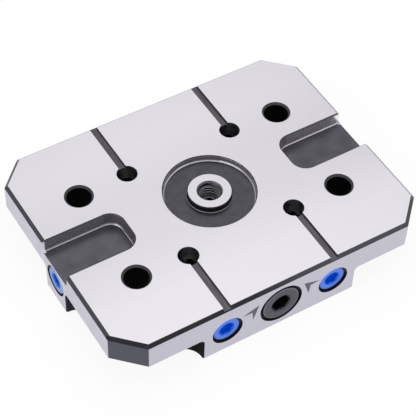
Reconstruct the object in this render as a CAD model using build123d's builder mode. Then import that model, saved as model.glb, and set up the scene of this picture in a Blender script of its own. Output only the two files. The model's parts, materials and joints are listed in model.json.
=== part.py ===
from build123d import *
from math import atan, cos, hypot
import os

# Zero point clamping plate for four pull studs, in millimetres.
# X runs along the long edge, Y towards the back and Z up. The plate lies with its stud side
# on z = 0 and its machine side up. The origin is the middle of the stud side.

os.makedirs("parts", exist_ok=True)

# Plate outline
plate_length = 150.0
plate_width = 116.0
plate_height = 27.0
corner_bevel = 12.0
rim_chamfer = 1.5
foot_chamfer = 0.6

# Clamping ledge under the flange, with tabs that reach out to the side faces
flange_thickness = 14.0
ledge_width = 9.0
ledge_bevel = 8.0
ledge_corner_radius = 8.0
ledge_fillet = 2.0
side_port_wall = 4.25
end_port_wall = 1.75

# Pockets that are open at the short ends, measured between their walls
pocket_length = 35.0
pocket_width = 20.8
pocket_depth = 6.5
pocket_corner_radius = 6.4
pocket_chamfer = 0.6
pocket_mouth_chamfer = 1.0
pocket_floor_fillet = 1.4

# Centring recess with its threaded boss
recess_radius = 20.2
recess_depth = 3.0
recess_chamfer = 0.4
recess_fillet = 0.8
boss_radius = 9.8
boss_chamfer = 0.4
boss_fillet = 0.5
thread_radius = 5.0
thread_chamfer = 0.7
thread_web = 0.6

# Mounting bolts, set a little inwards from halfway between the stud bores and the short ends
bolt_set_in = 0.5
bolt_spacing_y = 50.0
bolt_hole_radius = 5.5
bolt_hole_chamfer = 0.95
bolt_head_radius = 9.0
bolt_head_depth = 11.0

# Pull stud bores and their drains
stud_pitch = 52.0
stud_radius = 8.0
stud_relief_radius = 8.5
stud_lead_in = 1.5
stud_collar_web = 0.45
stud_head_room = 6.5
drain_radius = 4.6
drain_groove_width = 3.5
drain_groove_depth = 1.0

# How close an edge or corner lies to the place it is picked by
pick_tolerance = 0.01

# Fits
running_clearance = 0.05
press_gap = 0.02
contact_gap = 0.05
axial_gap = 0.05
end_gap = 0.5

# Flare round the mouth of every hex socket
socket_flare = 0.3

# Ports and plugs
port_axis_depth = 14.5
port_chamfer = 1.0
end_port_depth = 9.0
plug_radius = 6.2
plug_length = 7.0
side_plug_sink = 0.85
end_plug_sink = 0.25
plug_rim = 0.25
plug_socket = 6.0
plug_socket_depth = 3.5
plug_groove_radius = 4.8
plug_groove_width = 1.6
plug_groove_set_back = 0.9

# Actuating spindle
spindle_axis_depth = 13.5
head_bore_radius = 10.0
head_bore_chamfer = 0.25
head_radius = 8.9
head_sink = 0.05
head_rim = 0.4
flange_length = 3.4
ring_depth = 1.0
ring_thickness = 1.0
ring_height = 1.15
ring_groove_height = 0.6
ring_slit = 1.0
washer_thickness = 1.45
washer_margin = 0.3
shank_radius = 6.95
spindle_thread_radius = 4.95
spindle_socket = 8.0
spindle_socket_depth = 7.0
seal_depth = 13.0
seal_groove_radius = 5.4
seal_groove_width = 1.7

# Motion: the spindle's turns, its lead and the two slopes that pass the travel on
spindle_turns = 3.0
spindle_lead = 2.0
wedge_slope = 0.4
pin_slope = 1.25

# Wedge nut
nose_radius = 4.4
nose_tip_half_width = 0.5
nose_tip_lead = 0.1
nose_land = 3.5
nut_length = 18.8
nut_end_wall = 2.3
nut_gap = 0.8

# Push rods and clamping pins
rod_radius = 4.5
rod_tip_half_width = 0.6
rod_tip_set_back = 1.5
pin_radius = 5.0
pin_nose_radius = 3.5
pin_tip_radius = 2.0
pin_tip_length = 1.5
pin_tip_set_back = 0.2
pin_centre_gap = 0.8
bush_length = 2.5
bush_set_back = 0.3
spring_closed_length = 3.3
spring_wire = 0.8
spring_turns = 3.5

# Sizes that follow from the ones above
half_length = plate_length / 2
half_width = plate_width / 2
half_pitch = stud_pitch / 2
bolt_spacing_x = half_length + half_pitch - 2 * bolt_set_in
ledge_height = plate_height - flange_thickness
port_height = plate_height - port_axis_depth
spindle_height = plate_height - spindle_axis_depth
port_bore_radius = plug_radius + running_clearance
port_mouth_radius = port_bore_radius + port_chamfer
side_tab_width = stud_pitch + 2 * (port_mouth_radius + side_port_wall)
end_tab_width = 2 * (port_mouth_radius + end_port_wall)
stud_collar_top = port_height - port_bore_radius - stud_collar_web
stud_bore_depth = port_height + stud_head_room
rod_bore_radius = rod_radius + running_clearance
pin_bore_radius = pin_radius + running_clearance
nose_bore_radius = nose_radius + running_clearance
shank_bore_radius = shank_radius + running_clearance
thread_depth = spindle_axis_depth - nose_bore_radius - thread_web

# Travels from open to clamped
nut_travel = spindle_turns * spindle_lead
rod_travel = nut_travel * wedge_slope
pin_travel = rod_travel * pin_slope
spring_length = spring_closed_length + pin_travel

# Places along Y of the pins' parts, counted from the middle of the plate
bush_end = half_pitch - stud_relief_radius - bush_set_back
bush_seat = bush_end - bush_length
pin_shoulder = bush_seat - spring_length
pin_tip = bush_end - pin_tip_set_back

# Places along Y of the wedge nut and the spindle's inner end
nose_full = nose_tip_lead - (nose_radius - nose_tip_half_width) / wedge_slope
nose_root = nose_full - nose_land
nut_back = nose_root - nut_length
nose_bore_end = nose_tip_lead + nut_travel + end_gap
shank_bore_end = nose_root + nut_travel + end_gap
nut_hole_end = nose_root - nut_end_wall
spindle_end = nut_hole_end - end_gap
shank_end = nut_back - nut_gap

# Depths from the front face of the spindle's head, its ring and its washer
flange_front = ring_depth + ring_thickness + 2 * axial_gap
flange_back = flange_front + flange_length
head_bore_depth = flange_back + axial_gap + washer_thickness
ring_groove_radius = head_bore_radius + ring_groove_height

# Place of the push rods: a domed end lies on the wedge, and a wedge tip lies between the pins
wedge_cosine = cos(atan(wedge_slope))
rod_dome_centre = (nose_tip_half_width + nose_tip_lead * wedge_slope
                   + (rod_radius + contact_gap) / wedge_cosine)
rod_apex = half_pitch - rod_tip_set_back
rod_tip_full = rod_apex - rod_radius / pin_slope
rod_tip_end = rod_apex - rod_tip_half_width / pin_slope
pin_face_apex = rod_apex + contact_gap * hypot(1, pin_slope) / pin_slope

sides = {"left": -1, "right": 1}
rows = {"front": -1, "back": 1}


def along(x, y, z, direction_x, direction_y):
    """Plane at a point with its own x along a level direction and its own y upwards."""
    facing = (direction_y, -direction_x, 0)
    return Plane(origin=(x, y, z), x_dir=(direction_x, direction_y, 0), z_dir=facing)


def across(plane, distance):
    """Plane square to the first plane's x, at a distance along it."""
    return Plane(origin=plane.origin + plane.x_dir * distance, x_dir=plane.z_dir, z_dir=plane.x_dir)


def turning_axis(plane):
    """Axis of a turned piece that lies along the plane's x."""
    return Axis(plane.origin, plane.x_dir)


def outline(plane, *points):
    """Closed profile through points given as distance along the plane's x and height over it."""
    with BuildSketch(plane) as profile:
        with BuildLine():
            Polyline(*points, close=True)
        make_face()
    return profile.sketch


def tube_profile(plane, start, end, inner_radius, outer_radius):
    """Profile of a plain ring or tube from start to end along the plane's x."""
    return outline(plane, (start, inner_radius), (end, inner_radius),
                   (end, outer_radius), (start, outer_radius))


def hexagon(plane, width_across_flats):
    """Hexagon square to the plane's own z."""
    with BuildSketch(plane) as shape:
        RegularPolygon(width_across_flats / 2, 6, major_radius=False)
    return shape.sketch


def mouth_cone(plane, face, socket):
    """Profile of the cone that flares the mouth of a hex socket in a face at this distance."""
    mouth_radius = socket / 3 ** 0.5 + socket_flare
    return outline(plane, (face, 0), (face, mouth_radius),
                   (face + 2 * socket_flare, mouth_radius - 2 * socket_flare),
                   (face + 2 * socket_flare, 0))


def is_near(coordinate, distance):
    """True where a coordinate lies at a distance from the middle, on either side."""
    return abs(abs(coordinate) - distance) < pick_tolerance


def on_side_face(edge):
    """True for an edge whose middle lies on one of the four side faces."""
    return is_near(edge.center().X, half_length) or is_near(edge.center().Y, half_width)


def circle_edges(part, radius, height):
    """Level round edges of one radius at one height."""
    level = part.edges().filter_by(GeomType.CIRCLE).filter_by(Plane.XY)
    at_height = level.filter_by_position(Axis.Z, height - pick_tolerance, height + pick_tolerance)
    return at_height.filter_by(lambda edge: abs(edge.radius - radius) < pick_tolerance)


# Planes that the ports, bores and turned pieces lie along
spindle_plane = along(0, -half_width, spindle_height, 0, 1)
nut_plane = along(0, 0, spindle_height, 0, 1)
port_planes = {}
for row, sy in rows.items():
    for side, sx in sides.items():
        port_planes[f"{row}_{side}"] = along(sx * half_pitch, sy * half_width, port_height, 0, -sy)
for side, sx in sides.items():
    port_planes[f"{side}_end"] = along(sx * half_length, 0, port_height, -sx, 0)

# Plate body: a bevelled flange on a platform that leaves a clamping ledge all round
with BuildPart() as plate_body:
    with BuildSketch(Plane.XY.offset(ledge_height)):
        flange_outline = Rectangle(plate_length, plate_width)
        chamfer(flange_outline.vertices(), corner_bevel)
    extrude(amount=flange_thickness)
    chamfer(faces().sort_by(Axis.Z)[-1].edges(), rim_chamfer)

    with BuildSketch(Plane.XY):
        core_outline = Rectangle(plate_length - 2 * ledge_width, plate_width - 2 * ledge_width)
        chamfer(core_outline.vertices(), ledge_bevel)
        Rectangle(side_tab_width, plate_width)
        Rectangle(plate_length, end_tab_width)
        inner_x = half_length - ledge_width
        inner_y = half_width - ledge_width
        notch_corners = vertices().filter_by(
            lambda v: (is_near(v.X, side_tab_width / 2) and is_near(v.Y, inner_y))
            or (is_near(v.X, inner_x) and is_near(v.Y, end_tab_width / 2)))
        fillet(notch_corners, ledge_corner_radius)
    extrude(amount=ledge_height)

    # Fillet under the ledge, then one chamfer along every lower edge of the side faces
    at_ledge = edges().filter_by_position(
        Axis.Z, ledge_height - pick_tolerance, ledge_height + pick_tolerance)
    bevel_reach = half_length + half_width - corner_bevel - ledge_fillet
    wall_heads = at_ledge.filter_by(
        lambda edge: not on_side_face(edge)
        and abs(edge.center().X) + abs(edge.center().Y) < bevel_reach)
    fillet(wall_heads, ledge_fillet)
    at_ledge = edges().filter_by_position(
        Axis.Z, ledge_height - pick_tolerance, ledge_height + pick_tolerance)
    flange_edges = at_ledge.filter_by(
        lambda edge: on_side_face(edge)
        or abs(edge.center().X) + abs(edge.center().Y) > bevel_reach)
    chamfer(flange_edges + faces().sort_by(Axis.Z)[0].edges(), foot_chamfer)

    # End pockets, as rounded rectangles that reach past the short ends, with flared mouths
    with BuildSketch(Plane.XY.offset(plate_height)):
        with Locations((-half_length, 0), (half_length, 0)):
            RectangleRounded(2 * pocket_length, pocket_width, pocket_corner_radius)
        for sx in sides.values():
            for sy in rows.values():
                with BuildLine():
                    Polyline((sx * half_length, sy * pocket_width / 2),
                             (sx * (half_length - pocket_mouth_chamfer), sy * pocket_width / 2),
                             (sx * half_length, sy * (pocket_width / 2 + pocket_mouth_chamfer)), close=True)
                make_face()
    extrude(amount=-pocket_depth, mode=Mode.SUBTRACT)
    pocket_floor = plate_height - pocket_depth
    floor_edges = edges().filter_by_position(
        Axis.Z, pocket_floor - pick_tolerance, pocket_floor + pick_tolerance)
    wall_foot = floor_edges.filter_by(lambda edge: abs(edge.center().X) < half_length - pick_tolerance)
    fillet(wall_foot, pocket_floor_fillet)
    with BuildSketch(Plane.XY.offset(plate_height)):
        with Locations((-half_length, 0), (half_length, 0)):
            RectangleRounded(2 * (pocket_length + pocket_chamfer), pocket_width + 2 * pocket_chamfer,
                             pocket_corner_radius + pocket_chamfer)
    extrude(amount=-pocket_chamfer, taper=45, mode=Mode.SUBTRACT)

    # Mounting bolt holes with head bores on the stud side
    with BuildSketch(Plane.XY):
        with GridLocations(bolt_spacing_x, bolt_spacing_y, 2, 2):
            Circle(bolt_head_radius)
    extrude(amount=bolt_head_depth, mode=Mode.SUBTRACT)
    with BuildSketch(Plane.XY):
        with GridLocations(bolt_spacing_x, bolt_spacing_y, 2, 2):
            Circle(bolt_hole_radius)
    extrude(amount=plate_height, mode=Mode.SUBTRACT)
    chamfer(circle_edges(plate_body, bolt_hole_radius, plate_height), bolt_hole_chamfer)
    chamfer(circle_edges(plate_body, bolt_head_radius, 0), foot_chamfer)

    # Centring recess, boss and its thread, bored at the thread's outer radius
    with BuildSketch(Plane.XY.offset(plate_height)):
        Circle(recess_radius)
        Circle(boss_radius, mode=Mode.SUBTRACT)
    extrude(amount=-recess_depth, mode=Mode.SUBTRACT)
    fillet(circle_edges(plate_body, recess_radius, plate_height - recess_depth), recess_fillet)
    fillet(circle_edges(plate_body, boss_radius, plate_height - recess_depth), boss_fillet)
    chamfer(circle_edges(plate_body, recess_radius, plate_height), recess_chamfer)
    chamfer(circle_edges(plate_body, boss_radius, plate_height), boss_chamfer)
    with BuildSketch(Plane.XY.offset(plate_height)):
        Circle(thread_radius)
    extrude(amount=-thread_depth, mode=Mode.SUBTRACT)
    chamfer(circle_edges(plate_body, thread_radius, plate_height), thread_chamfer)

    # Stud bores: a locating collar, a wider relief and a drain up to the machine side
    for radius, bottom, top in (
        (stud_radius, 0, stud_collar_top),
        (stud_relief_radius, stud_collar_top, stud_bore_depth),
        (drain_radius, stud_bore_depth, plate_height),
    ):
        with BuildSketch(Plane.XY.offset(bottom)):
            with GridLocations(stud_pitch, stud_pitch, 2, 2):
                Circle(radius)
        extrude(amount=top - bottom, mode=Mode.SUBTRACT)
    chamfer(circle_edges(plate_body, stud_radius, 0), stud_lead_in)
    with BuildSketch(Plane.XY.offset(plate_height)):
        with GridLocations(stud_pitch, half_pitch + half_width, 2, 2):
            Rectangle(drain_groove_width, half_width - half_pitch)
    extrude(amount=-drain_groove_depth, mode=Mode.SUBTRACT)

    # Spindle bore: head, ring groove, shank and wedge nose
    revolve(outline(
        spindle_plane,
        (0, 0), (0, head_bore_radius + head_bore_chamfer), (head_bore_chamfer, head_bore_radius),
        (ring_depth, head_bore_radius), (ring_depth, ring_groove_radius),
        (ring_depth + ring_thickness + axial_gap, ring_groove_radius),
        (ring_depth + ring_thickness + axial_gap, head_bore_radius),
        (head_bore_depth, head_bore_radius), (head_bore_depth, shank_bore_radius),
        (half_width + shank_bore_end, shank_bore_radius), (half_width + shank_bore_end, nose_bore_radius),
        (half_width + nose_bore_end, nose_bore_radius), (half_width + nose_bore_end, 0),
    ), axis=turning_axis(spindle_plane), mode=Mode.SUBTRACT)

    # Ports: a chamfered mouth and a plug bore, which runs on to the bush's seat in the pin bores
    # and changes to the rod bore at the short ends
    for name, plane in port_planes.items():
        is_end = name.endswith("end")
        bore_depth = end_port_depth if is_end else half_width - bush_seat
        inner_radius = rod_bore_radius if is_end else pin_bore_radius
        middle = half_length if is_end else half_width
        revolve(outline(
            plane,
            (0, 0), (0, port_mouth_radius), (port_chamfer, port_bore_radius),
            (bore_depth, port_bore_radius), (bore_depth, inner_radius),
            (middle, inner_radius), (middle, 0),
        ), axis=turning_axis(plane), mode=Mode.SUBTRACT)

plate_body.part.label = "plate_body"
export_step(plate_body.part, "parts/plate_body.step")

# Actuating spindle: a head that shows in the port, a thrust flange, a shank and a left-hand thread
with BuildPart() as spindle:
    seal_groove_end = seal_depth + seal_groove_width
    revolve(outline(
        spindle_plane,
        (head_sink, 0), (head_sink, head_radius - head_rim), (head_sink + head_rim, head_radius),
        (flange_front, head_radius), (flange_front, head_bore_radius - running_clearance),
        (flange_back, head_bore_radius - running_clearance), (flange_back, shank_radius),
        (seal_depth, shank_radius), (seal_depth, seal_groove_radius),
        (seal_groove_end, seal_groove_radius), (seal_groove_end, shank_radius),
        (half_width + shank_end, shank_radius), (half_width + shank_end, spindle_thread_radius),
        (half_width + spindle_end, spindle_thread_radius), (half_width + spindle_end, 0),
    ), axis=turning_axis(spindle_plane))
    extrude(hexagon(across(spindle_plane, head_sink), spindle_socket),
            amount=spindle_socket_depth, mode=Mode.SUBTRACT)
    revolve(mouth_cone(spindle_plane, head_sink, spindle_socket),
            axis=turning_axis(spindle_plane), mode=Mode.SUBTRACT)

spindle.part.label = "spindle"
export_step(spindle.part, "parts/spindle.step")

# Retaining ring in its groove in front of the spindle's flange, with a slit at its foot
with BuildPart() as spindle_retaining_ring:
    ring_outer = ring_groove_radius - 2 * running_clearance
    revolve(tube_profile(spindle_plane, ring_depth, ring_depth + ring_thickness,
                         ring_outer - ring_height, ring_outer),
            axis=turning_axis(spindle_plane))
    with BuildSketch(across(spindle_plane, 0)):
        with Locations((0, -ring_outer)):
            Rectangle(ring_slit, 4 * ring_height)
    extrude(amount=ring_depth + 2 * ring_thickness, mode=Mode.SUBTRACT)

spindle_retaining_ring.part.label = "spindle_retaining_ring"
export_step(spindle_retaining_ring.part, "parts/spindle_retaining_ring.step")

# Thrust washer on the shoulder behind the flange
with BuildPart() as thrust_washer:
    revolve(tube_profile(spindle_plane, head_bore_depth - washer_thickness, head_bore_depth,
                         shank_bore_radius, head_bore_radius - washer_margin),
            axis=turning_axis(spindle_plane))

thrust_washer.part.label = "thrust_washer"
export_step(thrust_washer.part, "parts/thrust_washer.step")

# Seal in the shank's groove
with BuildPart() as spindle_seal:
    seal_section = (shank_bore_radius - seal_groove_radius) / 2 - running_clearance
    with BuildSketch(spindle_plane):
        with Locations((seal_depth + seal_groove_width / 2, (shank_bore_radius + seal_groove_radius) / 2)):
            Circle(seal_section)
    revolve(axis=turning_axis(spindle_plane))

spindle_seal.part.label = "spindle_seal"
export_step(spindle_seal.part, "parts/spindle_seal.step")

# Wedge nut: a round nut body with a nose whose two flats close in towards its tip
with BuildPart() as wedge_nut:
    revolve(outline(
        nut_plane,
        (nut_back, 0), (nut_back, shank_radius), (nose_root, shank_radius), (nose_root, nose_radius),
        (nose_tip_lead, nose_radius), (nose_tip_lead, 0),
    ), axis=turning_axis(nut_plane))
    revolve(outline(
        nut_plane,
        (nut_back, 0), (nut_back, spindle_thread_radius + running_clearance),
        (nut_hole_end, spindle_thread_radius + running_clearance), (nut_hole_end, 0),
    ), axis=turning_axis(nut_plane), mode=Mode.SUBTRACT)
    for sx in sides.values():
        with BuildSketch(Plane.XY.offset(spindle_height)):
            with BuildLine():
                Polyline((sx * nose_radius, nose_full), (sx * nose_tip_half_width, nose_tip_lead),
                         (sx * nose_tip_half_width, nose_bore_end), (sx * 2 * nose_radius, nose_bore_end),
                         (sx * 2 * nose_radius, nose_full), close=True)
            make_face()
        extrude(amount=2 * nose_radius, both=True, mode=Mode.SUBTRACT)

wedge_nut.part.label = "wedge_nut"
export_step(wedge_nut.part, "parts/wedge_nut.step")

# Push rods: a domed inner end on the wedge, and an outer tip with two flats between the pins
for side, sx in sides.items():
    rod_plane = along(0, 0, port_height, sx, 0)
    with BuildPart() as push_rod:
        with BuildSketch(rod_plane):
            with BuildLine():
                CenterArc((rod_dome_centre, 0), rod_radius, 90, 90)
                Polyline((rod_dome_centre, rod_radius), (rod_tip_end, rod_radius), (rod_tip_end, 0),
                         (rod_dome_centre - rod_radius, 0))
            make_face()
        revolve(axis=turning_axis(rod_plane))
        with BuildSketch(Plane.XY.offset(port_height)):
            for sy in rows.values():
                with BuildLine():
                    Polyline((sx * rod_tip_full, sy * rod_radius),
                             (sx * rod_tip_end, sy * rod_tip_half_width),
                             (sx * half_pitch, sy * rod_tip_half_width),
                             (sx * half_pitch, sy * 2 * rod_radius),
                             (sx * rod_tip_full, sy * 2 * rod_radius), close=True)
                make_face()
        extrude(amount=2 * rod_radius, both=True, mode=Mode.SUBTRACT)
    push_rod.part.label = f"push_rod_{side}"
    export_step(push_rod.part, f"parts/push_rod_{side}.step")

# Clamping pins, with their springs and guide bushes, one set for each stud bore
for row, sy in rows.items():
    for side, sx in sides.items():
        pin_plane = along(sx * half_pitch, 0, port_height, 0, sy)

        with BuildPart() as clamping_pin:
            revolve(outline(
                pin_plane,
                (pin_centre_gap / 2, 0), (pin_centre_gap / 2, pin_radius), (pin_shoulder, pin_radius),
                (pin_shoulder, pin_nose_radius), (pin_tip - pin_tip_length, pin_nose_radius),
                (pin_tip, pin_tip_radius), (pin_tip, 0),
            ), axis=turning_axis(pin_plane))
            face_start = half_pitch - 2 * pin_radius
            with BuildSketch(Plane.XY.offset(port_height)):
                with BuildLine():
                    Polyline((sx * pin_face_apex, 0), (sx * face_start, 0),
                             (sx * face_start, sy * (pin_face_apex - face_start) * pin_slope), close=True)
                make_face()
            extrude(amount=2 * pin_radius, both=True, mode=Mode.SUBTRACT)
        clamping_pin.part.label = f"clamping_pin_{row}_{side}"
        export_step(clamping_pin.part, f"parts/clamping_pin_{row}_{side}.step")

        with BuildPart() as guide_bush:
            revolve(tube_profile(pin_plane, bush_seat, bush_end, pin_nose_radius + running_clearance,
                                 port_bore_radius - press_gap),
                    axis=turning_axis(pin_plane))
        guide_bush.part.label = f"guide_bush_{row}_{side}"
        export_step(guide_bush.part, f"parts/guide_bush_{row}_{side}.step")

        with BuildPart() as pin_spring:
            coil_radius = (pin_radius + pin_nose_radius) / 2
            coil_height = spring_length - spring_wire - 2 * axial_gap
            coil_start = pin_plane.origin + pin_plane.x_dir * (pin_shoulder + spring_wire / 2 + axial_gap)
            with BuildLine():
                coil = Helix(coil_height / spring_turns, coil_height, coil_radius,
                             center=coil_start, direction=pin_plane.x_dir)
            with BuildSketch(Plane(origin=coil @ 0, z_dir=coil % 0)):
                Circle(spring_wire / 2)
            sweep(path=coil, is_frenet=True)
        pin_spring.part.label = f"pin_spring_{row}_{side}"
        export_step(pin_spring.part, f"parts/pin_spring_{row}_{side}.step")

# Port plugs, sunk in their mouths, with a groove for a seal near the inner end of each
for name, plane in port_planes.items():
    sink = end_plug_sink if name.endswith("end") else side_plug_sink
    plug_end = sink + plug_length
    groove_end = plug_end - plug_groove_set_back
    groove_start = groove_end - plug_groove_width
    with BuildPart() as plug:
        revolve(outline(
            plane,
            (sink, 0), (sink, plug_radius - plug_rim), (sink + plug_rim, plug_radius),
            (groove_start, plug_radius), (groove_start, plug_groove_radius),
            (groove_end, plug_groove_radius), (groove_end, plug_radius),
            (plug_end, plug_radius), (plug_end, 0),
        ), axis=turning_axis(plane))
        extrude(hexagon(across(plane, sink), plug_socket),
                amount=plug_socket_depth, mode=Mode.SUBTRACT)
        revolve(mouth_cone(plane, sink, plug_socket),
                axis=turning_axis(plane), mode=Mode.SUBTRACT)
    plug.part.label = f"plug_{name}"
    export_step(plug.part, f"parts/plug_{name}.step")

# One seal in the groove of each plug
with BuildPart() as plug_seals:
    for name, plane in port_planes.items():
        sink = end_plug_sink if name.endswith("end") else side_plug_sink
        groove_middle = sink + plug_length - plug_groove_set_back - plug_groove_width / 2
        with BuildSketch(plane):
            with Locations((groove_middle, (port_bore_radius + plug_groove_radius) / 2)):
                Circle((port_bore_radius - plug_groove_radius) / 2 - running_clearance)
        revolve(axis=turning_axis(plane))

plug_seals.part.label = "plug_seals"
export_step(plug_seals.part, "parts/plug_seals.step")
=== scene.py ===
"""Dresses the zero point clamping plate: finishes, centre thread, pin springs, floor, light and camera."""

import json
from functools import cached_property
from math import radians

import bpy
import numpy as np
from mathutils import Matrix, Vector


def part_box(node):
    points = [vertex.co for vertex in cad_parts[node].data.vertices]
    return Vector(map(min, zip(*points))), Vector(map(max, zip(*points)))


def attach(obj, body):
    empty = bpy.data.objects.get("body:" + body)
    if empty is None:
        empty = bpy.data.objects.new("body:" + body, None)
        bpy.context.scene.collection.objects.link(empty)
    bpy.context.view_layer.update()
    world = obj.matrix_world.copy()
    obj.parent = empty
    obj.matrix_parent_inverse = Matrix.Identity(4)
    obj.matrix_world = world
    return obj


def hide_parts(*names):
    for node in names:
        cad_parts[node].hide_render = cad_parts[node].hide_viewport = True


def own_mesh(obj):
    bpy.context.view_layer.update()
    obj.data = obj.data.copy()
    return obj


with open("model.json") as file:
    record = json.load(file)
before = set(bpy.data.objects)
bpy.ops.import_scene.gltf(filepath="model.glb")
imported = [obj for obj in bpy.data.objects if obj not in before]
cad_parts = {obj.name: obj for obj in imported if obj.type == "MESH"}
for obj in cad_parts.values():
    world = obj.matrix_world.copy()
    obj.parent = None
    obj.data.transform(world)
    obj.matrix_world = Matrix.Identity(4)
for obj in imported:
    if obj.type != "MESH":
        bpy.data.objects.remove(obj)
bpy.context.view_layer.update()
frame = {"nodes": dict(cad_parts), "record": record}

# Lengths below are in millimetres of the frame, and MM turns them into metres
MM = 0.001
mounts = {mount["name"]: mount for mount in frame["record"]["mounts"]}
half_length, half_width, plate_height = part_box("plate_body")[1] / MM

# Edges and steps of the plate that its finish follows
plane_tolerance = 0.03
bevel_tolerance = 1.5 * plane_tolerance
rim_chamfer = 1.5
corner_bevel = 12.0
foot_chamfer = 0.6
ledge_height = 13.0
pocket_half_width = 10.4
pocket_depth = 6.5
pocket_chamfer = 0.6
pocket_fillet = 1.4
pocket_end = 40.0
mouth_flare = 1.0
recess_radius = 20.2
recess_depth = 3.0
recess_fillet = 0.8
boss_radius = 9.8
boss_fillet = 0.5
groove_depth = 1.0
groove_half_width = 1.75
stud_place = abs(mounts["stud_bore_front_left"]["pos_m"][0]) / MM
bolt_place_x = mounts["mounting_bolts"]["dims"]["spacing_x_mm"] / 2
bolt_place_y = mounts["mounting_bolts"]["dims"]["spacing_y_mm"] / 2
bolt_chamfer = 0.95
bolt_mouth_radius = mounts["mounting_bolts"]["dims"]["hole_r_mm"] + bolt_chamfer
drain_radius = 4.6
side_tab_half_width = 37.5
end_tab_half_width = 9.0
port_height = 12.5
port_mouth_radius = 7.25
port_reach = 20.0

# Painted light and shade on the plate: where it changes the tones, and how much lighter or darker it makes
# them
ledge_light = 3.5
ledge_light_reach = (3, 14)
front_rim_light = (0.67, 1.4)
front_rim_change = (-12, 8)
groove_wall_light = 1.8
right_wall_light = 1.35
mouth_wall_light = 1.7
mouth_light_reach = 7.0
pocket_end_light = 0.75
pocket_end_reach = 6.0
pocket_foot_shade = 0.25
right_flare_light = 0.72
middle_light = 0.92
middle_light_reach = (14, 38)

# Roughness of the plate's finishes
ground_roughness = 0.42
oxide_roughness = 0.34
milled_roughness = 0.2
matt_roughness_added = 0.5

# Plugs and spindle head
side_plug_sink = 0.85
end_plug_sink = 0.25
plug_rim = 0.25
plug_radius = 6.2
plug_socket_depth = 3.5
plug_socket_mouth = 3.76
spindle_height = mounts["drive_socket"]["pos_m"][2] / MM
spindle_bore_radius = 10.3
head_sink = 0.05
head_radius = 8.9
head_rim = 0.4
spindle_socket_mouth = 4.91
spindle_socket_reach = 8.0
spindle_lip = 1.0

# Centre thread: the ridge has its root a hair inside the bore's wall, and stands in from there
thread = mounts["centre_thread"]
thread_sink = 0.03
thread_outer = thread["dims"]["r_mm"] + thread_sink
thread_inner = 4.19
thread_pitch = 1.5
thread_crest = 0.38
thread_root = 1.3
thread_half_length = thread["dims"]["length_mm"] / 2
thread_foot = thread["pos_m"][2] / MM - thread_half_length
thread_low = thread_foot + thread_root / 2
thread_high = thread["pos_m"][2] / MM + thread_half_length - thread_root / 2
thread_mouth_radius = 6.0
# Painted shade in the middle of the bore's floor, a painted highlight along the thread's crest, and painted
# highlight rings on the floor
floor_shade_radius = 3.1
thread_crest_highlight = (0.05, 0.4)
painted_highlight_rings = (3.5, 4.9)
painted_highlight_reach = 0.3
steps_per_turn = 96
fade_turns = 0.3

# Coil springs of the clamping pins
spring_wire = 0.8
spring_turns = 3.5
spring_steps = 32
spring_sides = 12

# Arrow marks on the front face beside the spindle, as places across and up: tip, barb, notch, barb
arrow_points = ((11.0, 19.8), (19.2, 17.0), (14.3, 16.7), (13.7, 11.6))

# Surround and floor, whose reach to each side and gap below the plate are in metres
surround_colour = (0.95, 0.97, 1.0, 1.0)
surround_strength = 0.55
floor_colour = (0.9, 0.9, 0.9, 1.0)
floor_glow = 1.02
floor_glow_share = 0.9
floor_reach = 1.5
floor_gap = 0.0001

# Camera
camera_place = (-227.928, -353.037, 510.119)
camera_aim = (0.124, 1.011, 14.279)
camera_roll = 2.17584
camera_lens = 129.327
camera_sensor = 36.0

# Sockets of the Mix node that hold colours
MIX_UNDER = 6
MIX_OVER = 7
MIX_RESULT = 2


def colour(red, green, blue):
    """A colour written as on a screen, from 0 to 255, as the linear values that a shader takes."""
    screen = np.array([red, green, blue]) / 255
    linear = np.where(screen <= 0.04045, screen / 12.92, ((screen + 0.055) / 1.055) ** 2.4)
    return (*linear, 1.0)


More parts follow.
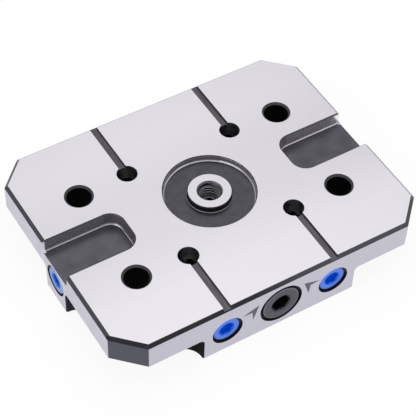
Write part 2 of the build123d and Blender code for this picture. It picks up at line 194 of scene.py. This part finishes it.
class Finish:
    """A material under construction: each method adds a node and gives back what it puts out.

    Its place is the Object coordinate in millimetres, so every pattern has a real size.
    """

    def __init__(self, name, metallic, specular=0.5):
        self.material = bpy.data.materials.new(name)
        self.material.use_nodes = True
        self.nodes = self.material.node_tree.nodes
        self.nodes.clear()
        self.surface = self.add("ShaderNodeBsdfPrincipled")
        self.surface.inputs["Metallic"].default_value = metallic
        self.surface.inputs["Specular IOR Level"].default_value = specular
        output = self.add("ShaderNodeOutputMaterial")
        self.feed(output.inputs["Surface"], self.surface.outputs["BSDF"])
        scaled = self.add("ShaderNodeVectorMath", operation="SCALE")
        self.feed(scaled.inputs["Vector"], self.add("ShaderNodeTexCoord").outputs["Object"])
        scaled.inputs["Scale"].default_value = 1 / MM
        self.place = scaled.outputs["Vector"]
        apart = self.add("ShaderNodeSeparateXYZ")
        self.feed(apart.inputs["Vector"], self.place)
        self.x, self.y, self.z = apart.outputs

    @cached_property
    def across(self):
        """Distance from the plate's middle along its length, the same to either side."""
        return self.calculate("ABSOLUTE", self.x)

    @cached_property
    def along(self):
        """Distance from the plate's middle along its width, the same to either side."""
        return self.calculate("ABSOLUTE", self.y)

    @cached_property
    def radius(self):
        """Distance from the upright axis through the plate's middle."""
        return self.distance(self.x, self.y)

    def add(self, kind, **settings):
        """A node of this kind with these settings."""
        node = self.nodes.new(kind)
        for name, value in settings.items():
            setattr(node, name, value)
        return node

    def feed(self, socket, value):
        """Joins another node's output to the socket, or sets the socket to a constant."""
        if isinstance(value, bpy.types.NodeSocket):
            self.material.node_tree.links.new(value, socket)
        else:
            socket.default_value = value

    def calculate(self, operation, *values):
        """Result of a Math node on numbers or outputs."""
        node = self.add("ShaderNodeMath", operation=operation)
        for socket, value in zip(node.inputs, values):
            self.feed(socket, value)
        return node.outputs["Value"]

    def over(self, value, limit):
        """1 where the value is over the limit, else 0."""
        return self.calculate("GREATER_THAN", value, limit)

    def under(self, value, limit):
        """1 where the value is under the limit, else 0."""
        return self.calculate("LESS_THAN", value, limit)

    def both(self, *masks):
        """1 where every mask is 1."""
        result = masks[0]
        for mask in masks[1:]:
            result = self.calculate("MULTIPLY", result, mask)
        return result

    def either(self, *masks):
        """1 where at least one mask is 1."""
        result = masks[0]
        for mask in masks[1:]:
            result = self.calculate("MAXIMUM", result, mask)
        return result

    def outside(self, mask):
        """1 where the mask is 0."""
        return self.under(mask, 0.5)

    def between(self, value, low, high):
        """1 where the value lies between the two limits."""
        return self.both(self.over(value, low), self.under(value, high))

    def near(self, value, level, reach=plane_tolerance):
        """1 where the value lies within reach of the level."""
        return self.between(value, level - reach, level + reach)

    def distance(self, first, second):
        """Root of the sum of two squares."""
        square = self.calculate("MULTIPLY", first, first)
        return self.calculate("SQRT", self.calculate("MULTIPLY_ADD", second, second, square))

    def grain(self, size_x, size_y, size_z, detail=2.0):
        """Noise from 0 to 1, with features of these sizes in millimetres along the three axes."""
        stretched = self.add("ShaderNodeVectorMath", operation="MULTIPLY")
        self.feed(stretched.inputs[0], self.place)
        stretched.inputs[1].default_value = (1 / size_x, 1 / size_y, 1 / size_z)
        noise = self.add("ShaderNodeTexNoise")
        self.feed(noise.inputs["Vector"], stretched.outputs["Vector"])
        noise.inputs["Scale"].default_value = 1.0
        noise.inputs["Detail"].default_value = detail
        return noise.outputs["Fac"]

    def spread(self, value, low, high, start=0.3, end=0.7):
        """The value's range from start to end, taken to the range from low to high.

        Noise keeps mostly to the range that is preset here.
        """
        node = self.add("ShaderNodeMapRange")
        self.feed(node.inputs["Value"], value)
        node.inputs["From Min"].default_value = start
        node.inputs["From Max"].default_value = end
        node.inputs["To Min"].default_value = low
        node.inputs["To Max"].default_value = high
        return node.outputs["Result"]

    def rings(self, radius, spacing, low, high, patch=7, drift=2):
        """Sine waves in the radius, as a turning tool leaves them, from low to high.

        They drift by up to this many spacings over patches of this size.
        """
        uneven = self.calculate("MULTIPLY_ADD", self.grain(patch, patch, patch), spacing * drift, radius)
        wave = self.calculate("SINE", self.calculate("MULTIPLY", uneven, 2 * np.pi / spacing))
        return self.spread(wave, low, high, start=-1, end=1)

    def shade(self, shade_colour, factor):
        """The colour times a factor."""
        node = self.add("ShaderNodeVectorMath", operation="SCALE")
        if isinstance(shade_colour, tuple):
            shade_colour = shade_colour[:3]
        self.feed(node.inputs["Vector"], shade_colour)
        self.feed(node.inputs["Scale"], factor)
        return node.outputs["Vector"]

    def mottle(self, base, size, low, high, detail=2.0):
        """The colour with grain of this size, which takes it from low to high times its brightness."""
        return self.shade(base, self.spread(self.grain(*size, detail), low, high))

    def mix(self, mask, under, over):
        """One colour where the mask is 0 and the other where it is 1."""
        node = self.add("ShaderNodeMix", data_type="RGBA")
        self.feed(node.inputs[0], mask)
        self.feed(node.inputs[MIX_UNDER], under)
        self.feed(node.inputs[MIX_OVER], over)
        return node.outputs[MIX_RESULT]

    def step(self, mask, under, over):
        """One number where the mask is 0 and the other where it is 1."""
        return self.calculate("MULTIPLY_ADD", mask, over - under, under)

    def bump(self, height, depth):
        """Relief of this depth in millimetres where the height goes from 0 to 1."""
        node = self.add("ShaderNodeBump")
        node.inputs["Distance"].default_value = depth * MM
        self.feed(node.inputs["Height"], height)
        self.feed(self.surface.inputs["Normal"], node.outputs["Normal"])

    def set(self, base, roughness):
        """Gives the surface its colour and roughness."""
        self.feed(self.surface.inputs["Base Color"], base)
        self.feed(self.surface.inputs["Roughness"], roughness)
        return self.material


# Masks of the plate's surfaces

def beside(finish, start, end, inside):
    """1 on the inner side of the line through two points given across and up, on both halves."""
    slope_x = end[1] - start[1]
    slope_z = start[0] - end[0]
    offset = -(slope_x * start[0] + slope_z * start[1])
    sign = 1 if slope_x * inside[0] + slope_z * inside[1] + offset > 0 else -1
    upright = finish.calculate("MULTIPLY_ADD", finish.z, sign * slope_z, sign * offset)
    return finish.over(finish.calculate("MULTIPLY_ADD", finish.across, sign * slope_x, upright), 0)


def arrow_marks(finish):
    """The two arrow marks: between the edges at the tip, and short of either barb's back."""
    tip, barb, notch, foot = arrow_points
    middle = tuple((a + b) / 2 for a, b in zip(tip, notch))
    head = finish.both(beside(finish, tip, barb, middle), beside(finish, tip, foot, middle))
    back = finish.either(beside(finish, barb, notch, middle), beside(finish, notch, foot, middle))
    front = finish.under(finish.y, plane_tolerance - half_width)
    return finish.both(head, back, front)


def under_ledge(finish):
    """All that lies at the ledges or lower."""
    return finish.under(finish.z, ledge_height + plane_tolerance)


def bolt_bores(finish):
    """Bores and chamfers of the four bolt holes."""
    offset_x = finish.calculate("SUBTRACT", finish.across, bolt_place_x)
    offset_y = finish.calculate("SUBTRACT", finish.along, bolt_place_y)
    return finish.under(finish.distance(offset_x, offset_y), bolt_mouth_radius + plane_tolerance)


def above_pocket_foot(finish):
    """All that lies higher than the fillet round the pockets' floors."""
    return finish.over(finish.z, plate_height - pocket_depth + pocket_fillet)


def pocket_walls(finish):
    """Walls of the two pockets, down to a hair above their floors."""
    wall_foot = plate_height - pocket_depth + pocket_foot_shade
    return finish.both(
        finish.between(finish.z, wall_foot, plate_height - pocket_chamfer),
        finish.under(finish.along, pocket_half_width + plane_tolerance),
        finish.over(finish.across, recess_radius + recess_fillet),
        finish.under(finish.across, half_length - plane_tolerance))


def recess_wall(finish):
    """Wall of the centring recess."""
    return finish.both(
        finish.over(finish.z, plate_height - recess_depth + plane_tolerance),
        finish.over(finish.radius, (boss_radius + recess_radius) / 2),
        finish.under(finish.radius, recess_radius + plane_tolerance))


def flares(finish):
    """Flared ends of the pockets' walls, with the fillets at their feet."""
    flare_depth = finish.calculate("SUBTRACT", finish.across, finish.along)
    flare_line = half_length - mouth_flare - pocket_half_width
    walls = finish.near(flare_depth, flare_line)
    feet = finish.both(
        finish.between(flare_depth, flare_line, flare_line + 2 * pocket_fillet),
        finish.under(finish.z, plate_height - pocket_depth + pocket_fillet))
    return finish.both(
        finish.either(walls, feet),
        finish.over(finish.z, plate_height - pocket_depth + plane_tolerance),
        finish.over(finish.across, half_length - mouth_flare - plane_tolerance),
        finish.under(finish.along, pocket_half_width + mouth_flare + plane_tolerance))


def low_edges(finish):
    """Chamfers at the plate's foot, and at the ledges beyond the tabs that hold the ports."""
    at_ends = finish.over(finish.across, half_length - foot_chamfer)
    at_sides = finish.over(finish.along, half_width - foot_chamfer)
    beyond_tabs = finish.either(
        finish.both(at_sides, finish.over(finish.across, side_tab_half_width)),
        finish.both(at_ends, finish.over(finish.along, end_tab_half_width)))
    at_ledge = finish.near(finish.z, ledge_height + foot_chamfer / 2, foot_chamfer / 2 + plane_tolerance)
    at_foot = finish.under(finish.z, foot_chamfer + plane_tolerance)
    heights = finish.either(at_foot, finish.both(at_ledge, beyond_tabs))
    return finish.both(heights, finish.either(at_ends, at_sides))


# Tones of the plate's black oxide, with painted light and shade in places: each function gives back the
# coat with its own places changed

def tint_ledge(finish, coat):
    """Undercut below the ledges, painted near black as shade, with painted light from the floor towards the
    left end.
    """
    start, end = (reach - half_length for reach in ledge_light_reach)
    tone = finish.shade(colour(30, 30, 36), finish.spread(finish.x, ledge_light, 1, start, end))
    return finish.mix(under_ledge(finish), coat, tone)


def tint_edges(finish, coat):
    """Corner bevels, and the chamfer round the machine face, whose tones are painted light and shade: dark
    at the front left, lighter towards the right, near the front-left bevel and on the far rims.
    """
    corner_sum = finish.calculate("ADD", finish.across, finish.along)
    bevel_sum = half_length + half_width - corner_bevel
    bevels = finish.near(corner_sum, bevel_sum, bevel_tolerance)
    coat = finish.mix(bevels, coat, colour(83, 84, 95))

    bevel_rims = finish.over(corner_sum, bevel_sum - 2 ** 0.5 * rim_chamfer)
    outermost = finish.either(
        finish.over(finish.across, half_length - rim_chamfer),
        finish.over(finish.along, half_width - rim_chamfer),
        bevel_rims)
    chamfer_heights = finish.between(finish.z, plate_height - rim_chamfer, plate_height - plane_tolerance)
    rims = finish.both(outermost, chamfer_heights)
    near_bevel_rim = finish.both(bevel_rims, finish.under(finish.x, 0), finish.under(finish.y, 0))
    front_rim = finish.under(finish.y, rim_chamfer - half_width)
    far_rims = finish.either(
        finish.over(finish.x, half_length - rim_chamfer),
        finish.over(finish.y, half_width - rim_chamfer))
    front_light = finish.spread(finish.x, *front_rim_light, *front_rim_change)
    # Painted light and shade: each stretch of the rim chamfer gets the tone its light gives it
    tone = finish.mix(near_bevel_rim, colour(78, 77, 84), colour(44, 43, 48))
    tone = finish.mix(front_rim, tone, finish.shade(colour(64, 63, 69), front_light))
    tone = finish.mix(far_rims, tone, colour(125, 123, 129))
    return finish.mix(rims, coat, tone)


def tint_pockets(finish, coat):
    """Chamfers and patchy floors of the two pockets."""
    rims = finish.both(
        finish.between(finish.z, plate_height - pocket_chamfer, plate_height - plane_tolerance),
        finish.under(finish.along, pocket_half_width + pocket_chamfer),
        finish.between(finish.across, recess_radius + recess_fillet, half_length - rim_chamfer))
    coat = finish.mix(rims, coat, colour(74, 73, 79))

    floors = finish.both(
        finish.near(finish.z, plate_height - pocket_depth),
        finish.under(finish.along, pocket_half_width))
    tone = finish.mottle(colour(84, 82, 89), size=(9, 7, 9), low=0.82, high=1.15, detail=3)
    return finish.mix(floors, coat, tone)


def tint_recess(finish, coat):
    """Floor of the centring recess, patchy and with faint turning rings."""
    floor = finish.both(
        finish.near(finish.z, plate_height - recess_depth),
        finish.under(finish.radius, recess_radius))
    tone = finish.mottle(colour(74, 72, 79), size=(4, 4, 4), low=0.88, high=1.12, detail=3)
    tone = finish.shade(tone, finish.rings(finish.radius, spacing=1.4, low=0.97, high=1.03))
    return finish.mix(floor, coat, tone)


def tint_grooves(finish, coat):
    """Drain grooves, with painted light on their walls that makes them lighter than the floors."""
    grooves = finish.both(
        finish.over(finish.z, plate_height - groove_depth - plane_tolerance),
        finish.near(finish.across, stud_place, groove_half_width + plane_tolerance),
        finish.over(finish.along, stud_place))
    walls = finish.over(finish.z, plate_height - groove_depth + plane_tolerance)
    tone = finish.mottle(colour(86, 83, 88), size=(0.5, 9, 5), low=0.75, high=1.2)
    tone = finish.mix(walls, tone, finish.shade(tone, groove_wall_light))
    return finish.mix(grooves, coat, tone)


def tint_holes(finish, coat):
    """Drains, and the bolt bores painted near black as shade, with lighter chamfers."""
    offset_x = finish.calculate("SUBTRACT", finish.across, stud_place)
    offset_y = finish.calculate("SUBTRACT", finish.along, stud_place)
    drains = finish.under(finish.distance(offset_x, offset_y), drain_radius + plane_tolerance)
    tone = finish.mottle(colour(96, 95, 102), size=(3, 3, 2.5), low=0.3, high=1.5)
    coat = finish.mix(drains, coat, tone)

    bores = bolt_bores(finish)
    # Painted shade: the bolt bores near black
    coat = finish.mix(bores, coat, colour(3, 3, 4))
    mouths = finish.both(bores, finish.over(finish.z, plate_height - bolt_chamfer))
    return finish.mix(mouths, coat, colour(88, 86, 93))


def tint_thread(finish, coat):
    """Mouth of the centre thread, and the floor of its bore: painted highlight rings that stand in for
    deeper turns of the thread, round a middle painted dark as shade.
    """
    mouth = finish.both(
        finish.over(finish.z, thread_high - thread_pitch),
        finish.under(finish.radius, thread_mouth_radius))
    coat = finish.mix(mouth, coat, colour(94, 92, 98))

    floor = finish.both(finish.near(finish.z, thread_foot), finish.under(finish.radius, thread_outer))
    rings = finish.either(*(finish.near(finish.radius, ring, painted_highlight_reach) for ring in painted_highlight_rings))
    tone = finish.mix(rings, colour(150, 147, 154), colour(250, 248, 252))
    tone = finish.mix(finish.over(finish.radius, floor_shade_radius), colour(16, 16, 20), tone)
    return finish.mix(floor, coat, tone)


def tint_ports(finish, coat):
    """Bores round the plugs and round the spindle's head, painted dark as shade."""
    level = finish.calculate("SUBTRACT", finish.z, port_height)
    offset = finish.calculate("SUBTRACT", finish.across, stud_place)
    mouth = port_mouth_radius + plane_tolerance
    side_ports = finish.both(
        finish.under(finish.distance(offset, level), mouth),
        finish.over(finish.along, half_width - port_reach))
    end_ports = finish.both(
        finish.under(finish.distance(finish.y, level), mouth),
        finish.over(finish.across, half_length - port_reach))
    coat = finish.mix(finish.either(side_ports, end_ports), coat, colour(26, 26, 36))

    spindle_level = finish.calculate("SUBTRACT", finish.z, spindle_height)
    spindle_bore = finish.both(
        finish.under(finish.distance(finish.x, spindle_level), spindle_bore_radius),
        finish.under(finish.y, port_reach - half_width))
    return finish.mix(spindle_bore, coat, colour(44, 44, 50))


def tint_walls(finish, coat):
    """Lighter band at the boss's foot, a painted highlight, and milled walls with painted light towards the
    right, a painted reflection near the right pocket's mouth, and painted shade round the pockets' inner
    ends.
    """
    boss_foot = finish.both(
        finish.over(finish.z, plate_height - recess_depth + plane_tolerance),
        finish.under(finish.z, plate_height - recess_depth + boss_fillet / 2),
        finish.under(finish.radius, boss_radius + boss_fillet))
    # Painted highlight along the boss's foot fillet
    coat = finish.mix(boss_foot, coat, colour(120, 117, 124))

    above_foot = above_pocket_foot(finish)
    right_light = finish.spread(finish.x, 1, right_wall_light, recess_radius, 2 * recess_radius)
    mouth_light = finish.spread(
        finish.x, 1, mouth_wall_light, half_length - mouth_light_reach, half_length - mouth_flare)
    tone = finish.mottle(colour(178, 174, 182), size=(2, 2, 0.8), low=0.85, high=1.15, detail=3)
    lit_tone = finish.shade(finish.shade(tone, right_light), mouth_light)
    tone = finish.mix(above_foot, tone, lit_tone)
    walls = pocket_walls(finish)
    pocket_ends = finish.both(walls, above_foot, finish.under(finish.across, pocket_end + pocket_end_reach))
    tone = finish.mix(pocket_ends, tone, finish.shade(tone, pocket_end_light))
    return finish.mix(finish.either(walls, recess_wall(finish)), coat, tone)


def plate_steel():
    """Ground faces on black oxide: planes of the outside are bright, all that lies deeper is black."""
    finish = Finish("plate_steel", metallic=0.75, specular=0.1)
    coat = finish.mottle(colour(46, 45, 50), size=(1.5, 1.5, 1.5), low=0.85, high=1.15, detail=4)
    for tint in (tint_ledge, tint_edges, tint_pockets, tint_recess, tint_grooves, tint_holes,
                 tint_thread, tint_ports, tint_walls):
        coat = tint(finish, coat)

    long_faces = finish.over(finish.along, half_width - plane_tolerance)
    side_faces = finish.either(finish.over(finish.across, half_length - plane_tolerance), long_faces)
    machine_face = finish.over(finish.z, plate_height - plane_tolerance)
    ground = finish.either(machine_face, side_faces, finish.under(finish.z, plane_tolerance))
    flared = flares(finish)
    bright_edges = finish.either(flared, low_edges(finish))
    bright = finish.either(ground, bright_edges)

    steel = finish.mottle(colour(212, 209, 215), size=(30, 0.35, 30), low=0.988, high=1.012, detail=3)
    # Painted shade: the machine face darker along its middle
    steel = finish.shade(steel, finish.spread(finish.along, middle_light, 1, *middle_light_reach))
    side_tone = colour(206, 203, 215)
    side_steel = finish.mix(
        long_faces,
        finish.mottle(side_tone, size=(4, 4, 2), low=0.9, high=1.06, detail=4),
        finish.mottle(side_tone, size=(0.7, 0.7, 0.7), low=0.95, high=1.05, detail=3))
    # Painted shade: the flares at the right pocket's mouth darker
    right_flares = finish.both(flared, finish.over(finish.x, 0))
    side_steel = finish.mix(right_flares, side_steel, finish.shade(side_steel, right_flare_light))
    steel = finish.mix(finish.either(side_faces, bright_edges), steel, side_steel)
    steel = finish.mix(arrow_marks(finish), steel, colour(102, 102, 112))

    milled = finish.either(pocket_walls(finish), recess_wall(finish))
    matt = finish.either(under_ledge(finish), bolt_bores(finish))
    dull = finish.step(milled, oxide_roughness, milled_roughness)
    dull = finish.calculate("MULTIPLY_ADD", matt, matt_roughness_added, dull)
    roughness = finish.both(finish.outside(bright), dull)
    roughness = finish.calculate("MULTIPLY_ADD", bright, ground_roughness, roughness)
    finish.bump(finish.grain(0.4, 0.25, 0.4, detail=3), depth=0.004)
    return finish.set(finish.mix(bright, coat, steel), roughness)


def black_steel():
    """Satin black oxide with faint turning rings round the spindle, a painted highlight on its head's rim,
    and painted shade round the head's edge and in its socket.
    """
    finish = Finish("black_steel", metallic=0.7)
    radius = finish.distance(finish.x, finish.calculate("SUBTRACT", finish.z, spindle_height))
    depth = finish.calculate("ADD", finish.y, half_width)
    tone = finish.shade(colour(72, 71, 83), finish.rings(radius, spacing=0.7, low=0.93, high=1.07))
    # Painted highlight on the head's rim chamfer, then painted shade beyond it and in the socket
    rim = finish.both(
        finish.between(radius, head_radius - 2 * head_rim, head_radius - head_rim / 2),
        finish.under(depth, head_sink + head_rim))
    tone = finish.mix(rim, tone, colour(104, 104, 114))
    tone = finish.mix(finish.over(radius, head_radius - head_rim / 2), tone, colour(24, 24, 29))

    socket = finish.both(
        finish.under(radius, spindle_socket_mouth),
        finish.between(depth, head_sink + plane_tolerance, spindle_socket_reach))
    lip = finish.spread(radius, 0, 1, spindle_socket_mouth - spindle_lip, spindle_socket_mouth)
    tone = finish.mix(socket, tone, finish.mix(lip, colour(16, 16, 20), tone))
    finish.bump(finish.rings(radius, spacing=0.35, low=0, high=1), depth=0.003)
    return finish.set(tone, roughness=0.32)


def blue_aluminium():
    """Blue anodised plugs, with painted light and shade: side plugs greyer than end plugs, a painted
    highlight on the rim, and a socket painted deep blue at its mouth and clear blue at its floor.
    """
    finish = Finish("blue_aluminium", metallic=0.7)
    level = finish.calculate("SUBTRACT", finish.z, port_height)
    on_long_side = finish.over(finish.along, half_width - port_reach)
    on_end = finish.outside(on_long_side)
    end_depth = finish.calculate("SUBTRACT", half_length - end_plug_sink, finish.across)
    side_depth = finish.calculate("SUBTRACT", half_width - side_plug_sink, finish.along)
    offset = finish.calculate("SUBTRACT", finish.across, stud_place)
    side_radius = finish.distance(offset, level)
    end_radius = finish.distance(finish.y, level)
    depth = finish.calculate(
        "ADD", finish.both(on_long_side, side_depth), finish.both(on_end, end_depth))
    radius = finish.calculate(
        "ADD", finish.both(on_long_side, side_radius), finish.both(on_end, end_radius))

    tone = finish.mottle(colour(84, 128, 232), size=(0.5, 0.5, 0.5), low=0.94, high=1.06, detail=3)
    # Painted light and shade: the side plugs greyer and paler than the end plugs, with their own socket
    # mouth tone
    tone = finish.mix(on_long_side, colour(108, 134, 187), tone)
    rim = finish.both(finish.over(radius, plug_radius - plug_rim), finish.under(depth, plug_rim))
    tone = finish.mix(rim, tone, colour(120, 155, 240))
    socket = finish.both(finish.under(radius, plug_socket_mouth), finish.over(depth, plane_tolerance))
    deep = finish.spread(depth, 0, 1, 0, plug_socket_depth)
    socket_mouth = finish.mix(on_long_side, colour(60, 122, 224), colour(20, 90, 220))
    tone = finish.mix(socket, tone, finish.mix(deep, socket_mouth, colour(30, 172, 255)))
    finish.bump(finish.grain(0.4, 0.4, 0.4), depth=0.003)
    return finish.set(tone, roughness=0.3)


def metal(name, base, roughness, size=0.5, contrast=0.06, roughness_change=0.04):
    """A metal with fine uneven tone and relief."""
    finish = Finish(name, metallic=0.85)
    noise = finish.grain(size, size, size, detail=3)
    tone = finish.shade(base, finish.spread(noise, 1 - contrast, 1 + contrast))
    finish.bump(noise, depth=0.004)
    roughness = finish.spread(noise, roughness - roughness_change, roughness + roughness_change)
    return finish.set(tone, roughness)


def seal_rubber():
    """Matt black rubber with a fine pitted relief."""
    finish = Finish("seal_rubber", metallic=0.0, specular=0.4)
    noise = finish.grain(0.3, 0.3, 0.3)
    finish.bump(noise, depth=0.01)
    return finish.set(finish.shade(colour(34, 34, 36), finish.spread(noise, 0.85, 1.15)), roughness=0.6)


def thread_oxide():
    """Black oxide of the cut thread, with a painted highlight along its crest."""
    finish = Finish("thread_oxide", metallic=0.75)
    highlight_from, highlight_to = (thread_inner + reach for reach in thread_crest_highlight)
    depth = finish.spread(finish.radius, 0, 1, highlight_from, highlight_to)
    tone = finish.mix(depth, colour(112, 109, 116), colour(70, 68, 74))
    return finish.set(finish.mottle(tone, size=(1, 1, 0.4), low=0.85, high=1.15), roughness=0.25)


def dress_nodes():
    """Gives every CAD node the finish of its slot in the record."""
    finishes = {
        "plate_steel": plate_steel(),
        "black_steel": black_steel(),
        "blue_aluminium": blue_aluminium(),
        "hardened_steel": metal("hardened_steel", colour(176, 176, 182), roughness=0.25),
        "spring_steel": metal("spring_steel", colour(150, 150, 156), roughness=0.3),
        "bronze": metal("bronze", colour(84, 78, 68), roughness=0.4),
        "seal_rubber": seal_rubber(),
    }
    for part in frame["record"]["subparts"]:
        node = frame["nodes"][part["node"]]
        node.data.materials.clear()
        node.data.materials.append(finishes[part["material_slot"]])
    return finishes


# Pieces that scene.py adds

def new_piece(name, points, faces, material):
    """Object at the origin, unrotated, with these points in metres and these faces."""
    mesh = bpy.data.meshes.new(name)
    mesh.from_pydata(points, [], faces)
    mesh.materials.append(material)
    piece = bpy.data.objects.new(name, mesh)
    bpy.context.scene.collection.objects.link(piece)
    return piece


def bar_faces(steps, corners):
    """Faces of a bar that goes through this many outlines of this many corners, closed at both ends."""
    here = np.arange(steps * corners).reshape(steps, corners)
    side = np.roll(here, -1, axis=1)
    quads = np.stack([here[:-1], side[:-1], side[1:], here[1:]], axis=2).reshape(-1, 4)
    return [*quads.tolist(), here[0, ::-1].tolist(), here[-1].tolist()]


def centre_thread(material):
    """Ridge of the centre thread: a flat-crested profile carried along a helix, in four corners.

    At turn t the corner k lies at the radius r_k and the height z0 + pitch * t + h_k. The crest's
    radius fades from the bore's to its own over the first and the last part of a turn.
    """
    turns = (thread_high - thread_low) / thread_pitch
    turn = np.linspace(0, turns, int(turns * steps_per_turn) + 1)
    fade = np.clip(np.minimum(turn, turns - turn) / fade_turns, 0, 1)
    crest = thread_outer + (thread_inner - thread_outer) * fade
    root = np.full_like(turn, thread_outer)
    radius = np.stack([root, crest, crest, root], axis=1)
    lift = np.array([-thread_root, -thread_crest, thread_crest, thread_root]) / 2
    angle = 2 * np.pi * turn[:, None]
    height = thread_low + thread_pitch * turn[:, None] + lift
    points = np.stack([radius * np.cos(angle), radius * np.sin(angle), height], axis=2) * MM

    piece = new_piece("centre_thread", points.reshape(-1, 3).tolist(), bar_faces(*radius.shape), material)
    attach(piece, "plate")


def pin_spring(place, material):
    """Coil spring of one clamping pin, in place of its CAD spring.

    The wire's middle goes round a helix: at the angle t it lies at r sin t across, at r cos t up
    and at t times the rise along. Its skin is a circle across the helix at each step.
    """
    low, high = np.array(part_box(f"pin_spring_{place}")) / MM
    middle = (low + high) / 2
    coil_radius = (high[0] - low[0] - spring_wire) / 2
    rise = (high[1] - low[1] - spring_wire) / (2 * np.pi * spring_turns)
    start = np.array([middle[0], low[1] + spring_wire / 2, middle[2]])

    steps = round(spring_turns * spring_steps) + 1
    angle = np.linspace(0, 2 * np.pi * spring_turns, steps)
    outward = np.stack([np.sin(angle), 0 * angle, np.cos(angle)], axis=1)
    centres = start + coil_radius * outward + angle[:, None] * [0, rise, 0]
    forward = np.stack(
        [coil_radius * np.cos(angle), np.full_like(angle, rise), -coil_radius * np.sin(angle)], axis=1)
    forward /= np.hypot(coil_radius, rise)
    sideways = np.cross(forward, outward)
    turn = np.linspace(0, 2 * np.pi, spring_sides, endpoint=False)[:, None]
    skin = np.cos(turn) * outward[:, None] + np.sin(turn) * sideways[:, None]
    points = (centres[:, None] + spring_wire / 2 * skin) * MM

    faces = bar_faces(steps, spring_sides)
    piece = new_piece(f"coil_spring_{place}", points.reshape(-1, 3).tolist(), faces, material)
    piece.data.polygons.foreach_set("use_smooth", [len(face) == 4 for face in faces])
    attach(piece, "plate")
    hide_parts(f"pin_spring_{place}")

    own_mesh(piece)


# Surround, floor, lamps and camera

def seen_directly(nodes, links):
    """1 for rays from the camera, and for reflected and refracted ones."""
    path = nodes.new("ShaderNodeLightPath")
    first = nodes.new("ShaderNodeMath")
    first.operation = "MAXIMUM"
    links.new(path.outputs["Is Camera Ray"], first.inputs[0])
    links.new(path.outputs["Is Glossy Ray"], first.inputs[1])
    second = nodes.new("ShaderNodeMath")
    second.operation = "MAXIMUM"
    links.new(first.outputs["Value"], second.inputs[0])
    links.new(path.outputs["Is Transmission Ray"], second.inputs[1])
    return second.outputs["Value"]


def white_surround():
    """World that is white where it is seen, and a soft pale light on everything else."""
    world = bpy.data.worlds.new("surround")
    world.use_nodes = True
    bpy.context.scene.world = world
    nodes, links = world.node_tree.nodes, world.node_tree.links
    nodes.clear()
    light = nodes.new("ShaderNodeBackground")
    light.inputs["Color"].default_value = surround_colour
    light.inputs["Strength"].default_value = surround_strength
    white = nodes.new("ShaderNodeBackground")
    white.inputs["Strength"].default_value = 1.0
    either = nodes.new("ShaderNodeMixShader")
    links.new(seen_directly(nodes, links), either.inputs["Fac"])
    links.new(light.outputs["Background"], either.inputs[1])
    links.new(white.outputs["Background"], either.inputs[2])
    output = nodes.new("ShaderNodeOutputWorld")
    links.new(either.outputs["Shader"], output.inputs["Surface"])


def white_glow():
    """Pale paint that mostly glows white where it is seen, and keeps a faint shadow."""
    material = bpy.data.materials.new("floor")
    material.use_nodes = True
    nodes, links = material.node_tree.nodes, material.node_tree.links
    nodes.clear()
    paint = nodes.new("ShaderNodeBsdfDiffuse")
    paint.inputs["Color"].default_value = floor_colour
    glow = nodes.new("ShaderNodeEmission")
    glow.inputs["Strength"].default_value = floor_glow
    share = nodes.new("ShaderNodeMath")
    share.operation = "MULTIPLY"
    share.inputs[1].default_value = floor_glow_share
    links.new(seen_directly(nodes, links), share.inputs[0])
    either = nodes.new("ShaderNodeMixShader")
    links.new(share.outputs["Value"], either.inputs["Fac"])
    links.new(paint.outputs["BSDF"], either.inputs[1])
    links.new(glow.outputs["Emission"], either.inputs[2])
    output = nodes.new("ShaderNodeOutputMaterial")
    links.new(either.outputs["Shader"], output.inputs["Surface"])
    return material


def pale_floor():
    """Plain floor a hair below the plate."""
    signs = ((-1, -1), (1, -1), (1, 1), (-1, 1))
    corners = [(floor_reach * x, floor_reach * y, -floor_gap) for x, y in signs]
    floor = new_piece("floor", corners, [(0, 1, 2, 3)], white_glow())


def softbox(name, place, size, power):
    """Square lamp at a place in metres that faces the plate."""
    lamp = bpy.data.lights.new(name, "AREA")
    lamp.size = size
    lamp.energy = power
    holder = bpy.data.objects.new(name, lamp)
    holder.location = place
    holder.rotation_euler = Vector(place).to_track_quat("Z", "Y").to_euler()
    holder.visible_camera = False
    bpy.context.scene.collection.objects.link(holder)


def camera():
    """Camera of the photograph: it looks from its place to its aim, rolled a little about its view."""
    place = Vector(camera_place) * MM
    forward = (Vector(camera_aim) * MM - place).normalized()
    level = forward.cross(Vector((0, 0, 1))).normalized()
    turn = Matrix.Rotation(radians(camera_roll), 4, -forward)
    right = turn @ level
    up = right.cross(forward)
    data = bpy.data.cameras.new("camera")
    data.lens = camera_lens
    data.sensor_width = camera_sensor
    eye = bpy.data.objects.new("camera", data)
    eye.matrix_world = Matrix.Translation(place) @ Matrix((right, up, -forward)).transposed().to_4x4()
    bpy.context.scene.collection.objects.link(eye)
    bpy.context.scene.camera = eye


finishes = dress_nodes()
centre_thread(thread_oxide())
for spring_place in ("front_left", "front_right", "back_left", "back_right"):
    pin_spring(spring_place, finishes["spring_steel"])
pale_floor()
white_surround()
softbox("overhead", place=(0.17, 0.1, 0.85), size=1.0, power=2.8)
softbox("left", place=(-0.8, -0.1, 0.5), size=0.7, power=1.6)
softbox("front right", place=(0.62, -0.75, 0.5), size=0.4, power=0.4)
camera()
bpy.context.scene.view_settings.view_transform = "Standard"
